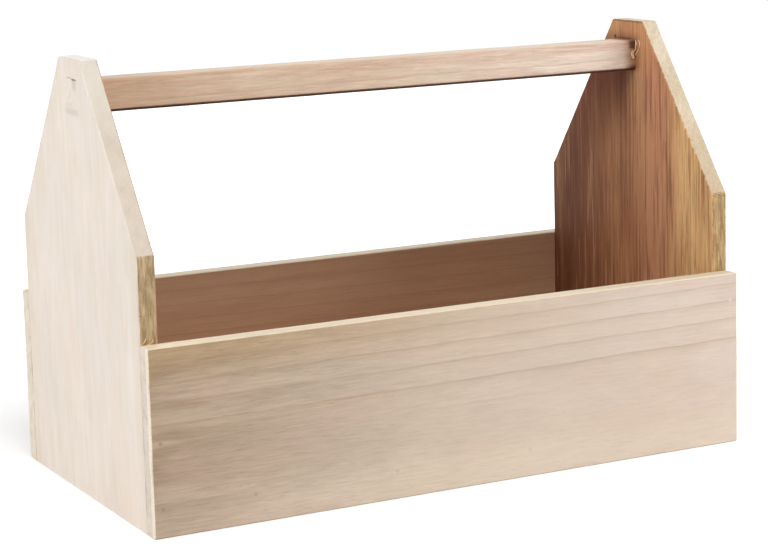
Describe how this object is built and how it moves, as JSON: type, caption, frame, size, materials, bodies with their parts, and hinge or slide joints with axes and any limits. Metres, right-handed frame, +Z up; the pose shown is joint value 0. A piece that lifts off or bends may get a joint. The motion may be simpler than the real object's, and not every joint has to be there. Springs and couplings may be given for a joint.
{
  "type": "wooden tool tote",
  "caption": "Open rectangular wooden tote with gabled ends and a square bar handle through both gables, for carrying hand tools and small parts.",
  "frame": {"origin": "middle of the footprint, on the plane the tote stands on", "axes": "+X along the length and the handle, +Y from the front board to the back board, +Z up"},
  "size_m": [0.35, 0.186, 0.231],
  "materials": {
    "left_end_wood": "bare, sanded",
    "right_end_wood": "bare, sanded",
    "front_wood": "bare, sanded",
    "back_wood": "bare, sanded",
    "floor_wood": "bare, sanded",
    "handle_wood": "bare, sanded",
    "brad_steel": "bright drawn wire",
    "filler": "sanded flush, matt"
  },
  "bodies": {
    "root": {"left_end": "left_end_wood", "right_end": "right_end_wood", "front_board": "front_wood", "back_board": "back_wood", "floor_board": "floor_wood", "handle_bar": "handle_wood", "front_left_brads": "brad_steel", "front_right_brads": "brad_steel", "back_left_brads": "brad_steel", "back_right_brads": "brad_steel", "front_floor_brads": "brad_steel", "back_floor_brads": "brad_steel", "left_floor_brads": "brad_steel", "right_floor_brads": "brad_steel", "front_filler": "filler", "back_filler": "filler", "left_filler": "filler", "right_filler": "filler"}
  },
  "joints": []
}
